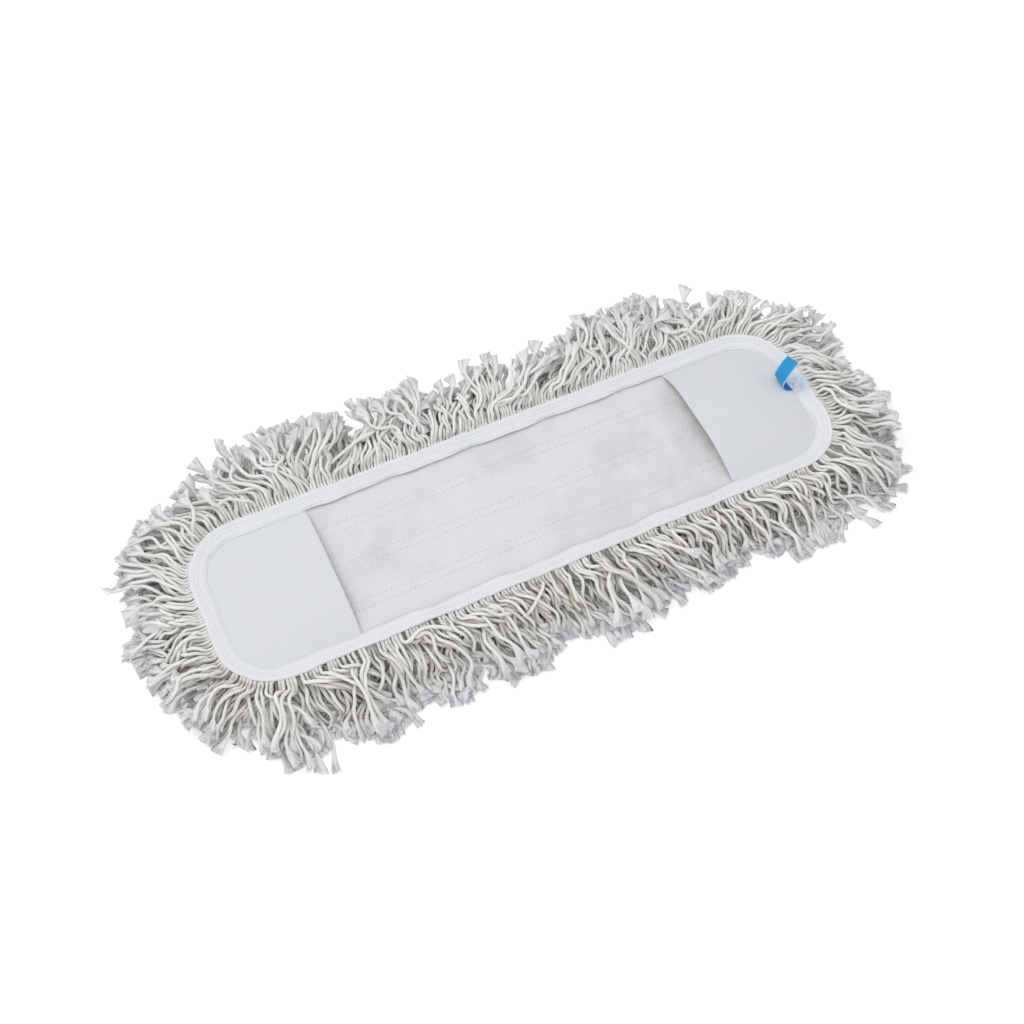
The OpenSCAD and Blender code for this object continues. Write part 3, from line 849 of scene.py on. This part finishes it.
# Yarn rows.
# Three rows of the same yarn under the canvas, each folded along its double seam so that
# both legs hang to the floor, where the mop's weight presses them flat.
row_rings = 11
row_pitch = 3.0 * MM
row_opening = np.concatenate([np.zeros(row_rings - 4), np.linspace(0, 1, 4)])
for number, row in enumerate(row_names):
    low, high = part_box("yarn_row_" + row)
    rng = np.random.default_rng(40 + number)
    middle = (low[1] + high[1]) / 2
    legs = []
    for layer in range(3):
        for side in (-1, 1):
            count = int((high[0] - low[0]) / row_pitch)
            s = np.arange(count) + 0.5 + rng.normal(0, 0.15, count)
            s = low[0] + s * (high[0] - low[0]) / count
            step = rng.uniform(24, 29, count) * MM / (row_rings - 1)
            t = np.linspace(0, 1, row_rings)[None, :]
            heading = rng.normal(0, 0.35, count)[:, None] * t
            heading = heading + 0.5 * np.sin(9 * t + 6 * rng.random((count, 1))) * t
            fall = (1.15 + rng.normal(0, 0.15, count))[:, None] * np.sin(t * 2.2)
            fall = 0.15 + 0.35 * layer + fall
            way = np.stack([
                np.cos(fall) * np.sin(heading), side * np.cos(fall) * np.cos(heading),
                -np.sin(fall)], axis=2)
            way = np.cumsum(way[:, :-1] * step[:, None, None], axis=1)
            way = np.concatenate([np.zeros((count, 1, 3)), way], axis=1)
            root_y = np.full(count, middle + side * (5 - 1.6 * layer) * MM)
            root_z = np.full(count, high[2] - 2.2 * MM)
            leg = way + np.column_stack([s, root_y, root_z])[:, None]
            leg[:, :, 2] = np.maximum(leg[:, :, 2], floor_gap)
            leg[:, :, 1] = np.clip(leg[:, :, 1], low[1] - 1 * MM, high[1] + 1 * MM)
            legs.append(leg)
    legs = np.concatenate(legs)
    girth = yarn_d / 2 * rng.uniform(0.9, 1.06, len(legs))[:, None]
    fan_w = rng.uniform(2.2, 3.4, len(legs))[:, None] * MM
    wide = girth + (fan_w - girth) * row_opening
    thick = girth + (tip_thick - girth) * row_opening
    tone = np.clip(rng.normal(0.2, 0.12, len(legs)), 0, 1)[:, None] * np.ones(row_rings)
    tufts = strand_mesh(
        "row_yarn_" + row, legs, wide, thick, 6, tone, np.ones((len(legs), 1)) * row_opening,
        rng.normal(0, 0.4, len(legs)), rng.normal(0, 0.6 * MM, (len(legs), 6)))
    tufts.data.materials.append(yarn_cotton)
    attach(tufts, "mop_head")
    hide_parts("yarn_row_" + row)

# Edge binding.
# A soft woven cotton tape, folded over the raw edges of canvas, pockets and fringe and
# sewn down all round. The yarn under it lifts its outer edge and its stitches pucker it.
# It and the pocket beside the tag carry a patchy blue tint.
tape_stations = 1280
tape_stitches = 320
tape_pitch = edge_length / tape_stitches
tape_seams = {"outer": (3.4 * MM, 5.6 * MM), "inner": (9.4 * MM,)}
tape_inner_z = canvas_high.z + 0.9 * MM
fold_r = 1.0 * MM


def tape_wander(s):
    """How far the hand-guided tape strays outwards, and how its inner edge strays inwards."""
    swing = 2 * math.pi * s / edge_length
    outer = 0.25 * np.sin(19 * swing + 1) + 0.2 * np.sin(41 * swing)
    outer += 0.1 * np.sin(87 * swing + 2)
    inner = 0.5 * np.sin(17 * swing + 0.4) + 0.3 * np.sin(37 * swing + 2.2)
    return outer * MM, inner * MM


def over_pocket(s):
    """1 where the tape lies on a pocket, 0 where it lies on the bare canvas or on the tag."""
    place = on_edge(np.ravel(s))[0]
    tag_y = 9.5 * MM
    pressed = smooth_step(np.abs(place[:, 0]), 126 * MM, 140 * MM)
    beside_tag = smooth_step(np.abs(place[:, 1] - tag_y), 7.5 * MM, 11 * MM)
    return np.where(place[:, 0] > 0, pressed * beside_tag, pressed).reshape(np.shape(s))


def tape_top(s, inset):
    """Height of the tape's upper leg, which slopes down from the lifted rim to the canvas."""
    swing = 2 * math.pi * s / edge_length
    share = np.clip((inset - fold_r) / (tape_w - fold_r), 0, 1)
    pressed = over_pocket(s)
    slope = tape_inner_z - 0.35 * MM * pressed + rim_rise * (1 - share)
    slope = slope - (0.25 + 0.08 * pressed) * MM * smooth_step(share, 0.82, 1)
    ripple = 0.08 * np.sin(61 * swing) + 0.1 * np.sin(29 * swing + 1.3)
    ripple += 0.06 * np.sin(113 * swing + 0.5)
    z = slope + MM * ripple * (0.4 + share) * (1 - 0.75 * pressed)
    for seam in (*tape_seams["outer"], *tape_seams["inner"]):
        drawn = 0.5 + 0.5 * np.cos(2 * math.pi * s / tape_pitch)
        z = z - 0.3 * MM * drawn * np.exp(-((inset - seam) / (0.75 * MM)) ** 2)
    return z


def blue_patches_around(material, place, reach, least, most):
    """A blue tint laid on a cloth around one place, in small patches."""
    tree = material.node_tree
    where = add_node(tree, "TexCoord", "Object")
    away = add_node(tree, "VectorMath", "Value", {0: where, 1: place}, operation="DISTANCE")
    near = add_node(tree, "MapRange", "Result", {
        "Value": away, "From Min": reach, "From Max": 0.2 * reach},
        interpolation_type="SMOOTHSTEP")
    spots = add_node(tree, "TexNoise", "Fac", {"Vector": where, "Scale": 420, "Detail": 3})
    patchy = add_node(tree, "MapRange", "Result", {
        "Value": spots, "From Min": 0.42, "From Max": 0.75, "To Min": least, "To Max": most})
    strength = calc(tree, "MULTIPLY", near, patchy)
    tint_base(material, strength, (0.30, 0.52, 0.80))


bend = np.linspace(-math.pi / 2, math.pi / 2, 9)
legs_in = np.array([
    1.8, 2.6, 3.4, 4.1, 4.9, 5.6, 6.3, 7.2, 8.2, 8.8, 9.4, 10.0, 10.6, 11.0]) * MM
profile_in = np.concatenate([
    [tape_w, 0.7 * tape_w, 0.4 * tape_w], fold_r - fold_r * np.cos(bend), legs_in])
rows, fold_rows = len(profile_in), 3 + len(bend)
tape = cloth_grid("edge_tape", tape_stations, rows - 1)
spot = read_points(tape).reshape(rows, tape_stations + 1, 3)
stations = np.arange(tape_stations + 1) % tape_stations / tape_stations * edge_length
edge_place, edge_out = on_edge(stations)[:2]
stray_out, stray_in = tape_wander(stations)
stray_in *= 1 - 0.7 * over_pocket(stations)
share = np.clip(profile_in / tape_w, 0, 1)[:, None]
upper_leg = (np.arange(rows) >= fold_rows)[:, None]
inset = profile_in[:, None] - stray_out * (1 - share) + stray_in * share * upper_leg
spot[:, :, :2] = edge_place[None] - edge_out[None] * inset[:, :, None]
foot_z = np.array([17.6, 18.2, 20.2]) * MM
crest = tape_top(stations[None, :], np.full((1, 1), fold_r))
spot[:3, :, 2] = foot_z[:, None]
spot[3:fold_rows, :, 2] = crest - fold_r + fold_r * np.sin(bend)[:, None]
spot[fold_rows:, :, 2] = tape_top(stations[None, :], profile_in[fold_rows:, None])
write_points(tape, spot.reshape(-1, 3))
thin_edge = tape.vertex_groups.new(name="thin_edge")
thinning = np.interp(profile_in, (9.4 * MM, 10.6 * MM), (1, 0.4))
weights = np.where(upper_leg[:, 0], thinning, 1)
for row, weight in enumerate(weights):
    first = row * (tape_stations + 1)
    thin_edge.add(range(first, first + tape_stations + 1), weight, "REPLACE")
bpy.ops.object.mode_set(mode="EDIT")
bpy.ops.mesh.select_all(action="SELECT")
bpy.ops.mesh.remove_doubles(threshold=0.00001)
bpy.ops.object.mode_set(mode="OBJECT")
thicken(tape, 0.5 * MM, group="thin_edge")
tape_cloth = woven_cloth(
    "tape_weave", (0.755, 0.77, 0.80), (0.65, 0.665, 0.695), 0.8 * MM, 0.35 * MM, nap=0.25)
blue_patches_around(tape_cloth, (213.5 * MM, 2 * MM, 22 * MM), 11 * MM, 0.12, 0.9)
blue_patches_around(pocket_cloth, (202 * MM, 2.5 * MM, 20 * MM), 8 * MM, 0.35, 0.45)
tape.data.materials.append(tape_cloth)
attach(tape, "mop_head")
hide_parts("edge_binding")

# Binding stitching.
# Lines of lockstitch along the tape, two beside the fold and one near the inner edge, with
# a needle hole between every two stitches.
tape_stitch = (2.2 * MM, 0.42 * MM)
tape_hole = (0.42 * MM, 0.4 * MM)
for name, insets in tape_seams.items():
    spots, turns, holes = [], [], []
    for inset in insets:
        for shift, found in ((0.5, spots), (0.0, holes)):
            seam_s = (np.arange(tape_stitches) + shift) * tape_pitch
            place, out, side, _ = on_edge(seam_s)
            stray = tape_wander(seam_s)[0] * (1 - inset / tape_w)
            flat = place - out * (inset - stray)[:, None]
            top = tape_top(seam_s, np.full(tape_stitches, inset))
            found.append(np.column_stack([flat, top]))
            if shift:
                turns.append(np.arctan2(side[:, 1], side[:, 0]))
    spots, holes, turns = np.concatenate(spots), np.concatenate(holes), np.concatenate(turns)
    seam = sewn_copies("tape_stitches_" + name, one_stitch(*tape_stitch), spots, turns)
    seam.data.materials.append(white_thread)
    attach(seam, "mop_head")
    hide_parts("binding_stitching_" + name)
    # The tape's needle holes take the same painted shade.
    dimples = sewn_copies(
        "tape_needle_holes_" + name, needle_hole(*tape_hole), holes + [0, 0, 0.12 * MM], turns)
    dimples.data.materials.append(hole_shade)
    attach(dimples, "mop_head")

# Tag.
# A blue woven ribbon, caught under the tape at the right end. It comes out over the pocket,
# turns up in a soft bend and stands loose, a little twisted, with paler selvedges. Its stub
# is darkened to a deeper blue by painted shade.
flap_low, flap_high = (Vector(c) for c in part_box("tag_flap"))
tag_w = flap_high.y - flap_low.y
tag_mid = (flap_low.y + flap_high.y) / 2
tag_thick = 0.35 * MM
flap_l = 19.5 * MM
flap_shares = np.linspace(0.06, 1, 16)
flap_lift = math.radians(66)
flap_twist = math.radians(9)
flap_bank = math.radians(14)
bend_r = 1.4 * MM
fold_x, fold_z = flap_low.x + 0.9 * MM, flap_low.z + 0.9 * MM

spine = [
    (half_l - 5.5 * MM, canvas_high.z + 2.0 * MM), (half_l - 8 * MM, canvas_high.z + 1.15 * MM),
    (half_l - 10.5 * MM, canvas_high.z + 0.35 * MM), (half_l - 12 * MM, canvas_high.z + 0.6 * MM),
    (half_l - 13.5 * MM, canvas_high.z + 1.25 * MM)]
for angle in np.linspace(-1.75, -math.pi / 2 - math.pi + flap_lift, 9):
    spine.append((fold_x + bend_r * math.cos(angle), fold_z + bend_r * math.sin(angle)))
stub_rows = len(spine)
for share in flap_shares:
    bow = 0.9 * MM * math.sin(math.pi * share)
    along = share * flap_l
    spine.append((
        spine[stub_rows - 1][0] + along * math.cos(flap_lift) - bow * math.sin(flap_lift),
        spine[stub_rows - 1][1] + along * math.sin(flap_lift) + bow * math.cos(flap_lift)))
spine = np.array(spine)
tag_columns = 24
tag = cloth_grid("tag_ribbon", tag_columns, len(spine) - 1)
spot = read_points(tag).reshape(len(spine), tag_columns + 1, 3)
across = np.linspace(-1, 1, tag_columns + 1)[None, :]
share = np.concatenate([np.zeros(stub_rows), flap_shares])[:, None]
askew = 4 * MM * smooth_step(np.arange(len(spine)), stub_rows, 0)[:, None]
twist, bank = flap_twist * share, flap_bank * share ** 1.5
spot[:, :, 0] = spine[:, :1] - across * tag_w / 2 * np.sin(twist) * np.cos(bank)
spot[:, :, 1] = tag_mid - askew + across * tag_w / 2 * np.cos(twist) * np.cos(bank)
spot[:, :, 2] = spine[:, 1:] - across * tag_w / 2 * np.sin(bank)
write_points(tag, spot.reshape(-1, 3))
loose_end = smooth_step(np.arange(len(spine)), stub_rows - 6, stub_rows - 3)[:, None]
mark_points(tag.data, "selvedge", loose_end * (np.abs(across) > 0.9))
# The stub, from under the tape into the bend, is marked for painted shade.
mark_points(tag.data, "stub_shade", np.repeat(1 - loose_end, tag_columns + 1, axis=1))
thicken(tag, tag_thick, offset=0)
ribbon = woven_cloth(
    "tag_weave", (0.035, 0.30, 0.63), (0.025, 0.23, 0.52), 0.4 * MM, 0.1 * MM, nap=0.05)
# The deeper blue on the stub is painted shade. The paler selvedges are the ribbon's own colour.
for mark, colour in (("stub_shade", (0.012, 0.14, 0.40)), ("selvedge", (0.36, 0.66, 0.93))):
    marked = add_node(ribbon.node_tree, "Attribute", "Fac", attribute_name=mark)
    tint_base(ribbon, marked, colour)
tag.data.materials.append(ribbon)
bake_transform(tag)
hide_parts("tag_stub", "tag_flap")

# Floor, light and camera.
# A plain white floor that keeps the mop's shadow, a wide soft light from behind on the
# left with a weaker one from the front, and the photograph's high view from the left.
def seen_directly(tree):
    """One for a ray that comes from the camera, or from it by a mirror or glass, else nothing."""
    total = add_node(tree, "LightPath", "Is Camera Ray")
    ray = total.node
    for kind in ("Is Glossy Ray", "Is Transmission Ray"):
        total = calc(tree, "MAXIMUM", total, ray.outputs[kind])
    return total


bpy.ops.object.select_all(action="DESELECT")
bpy.ops.mesh.primitive_plane_add(size=8, location=(0, 0, 0))
floor = bpy.context.object
floor.name = "floor"
paper = bpy.data.materials.new("floor_paper")
paper.use_nodes = True
tree = paper.node_tree
tree.nodes.remove(tree.nodes["Principled BSDF"])
matte = add_node(tree, "BsdfDiffuse", "BSDF", {"Color": (0.8, 0.8, 0.8, 1)})
glow = add_node(tree, "Emission", "Emission", {"Strength": 0.45})
half_matte = add_node(tree, "BsdfDiffuse", "BSDF", {"Color": (0.65, 0.65, 0.65, 1)})
seen = add_node(tree, "AddShader", "Shader", {0: glow, 1: half_matte})
choose = add_node(tree, "MixShader", "Shader", {"Fac": seen_directly(tree), 1: matte, 2: seen})
feed(tree.nodes["Material Output"], {"Surface": choose})
floor.data.materials.append(paper)

world = bpy.data.worlds.new("studio")
bpy.context.scene.world = world
world.use_nodes = True
sky_level = add_node(world.node_tree, "MapRange", "Result", {
    "Value": seen_directly(world.node_tree), "To Min": 0.802, "To Max": 1.0})
feed(world.node_tree.nodes["Background"], {"Color": (1, 1, 1, 1), "Strength": sky_level})


def soft_light(name, place, aim, size, power):
    """A round soft lamp that looks at one place."""
    lamp = bpy.data.lights.new(name, "AREA")
    lamp.shape = "DISK"
    lamp.size = size
    lamp.energy = power
    holder = bpy.data.objects.new(name, lamp)
    holder.location = place
    view = Vector(aim) - Vector(place)
    holder.rotation_euler = view.to_track_quat("-Z", "Y").to_euler()
    bpy.context.collection.objects.link(holder)


lit_spot = (0, 0, 0.02)
soft_light("key_light", (-0.6, 1.05, 1.4), lit_spot, 1.3, 10.5)
soft_light("fill_light", (-0.25, -1.3, 0.9), lit_spot, 1.4, 5)

azimuth, elevation = math.radians(-25.08), math.radians(57.66)
camera_away = 0.908
target = Vector((-11.2, -9.9, 22.4)) * MM
back_off = Vector((
    math.sin(azimuth) * math.cos(elevation),
    -math.cos(azimuth) * math.cos(elevation),
    math.sin(elevation)))
camera_data = bpy.data.cameras.new("camera")
camera_data.lens = 48.69
camera_data.sensor_width = 36
camera = bpy.data.objects.new("camera", camera_data)
camera.location = target + camera_away * back_off
camera.rotation_euler = back_off.to_track_quat("Z", "Y").to_euler()
bpy.context.collection.objects.link(camera)
bpy.context.scene.camera = camera
bpy.context.scene.view_settings.view_transform = "Standard"
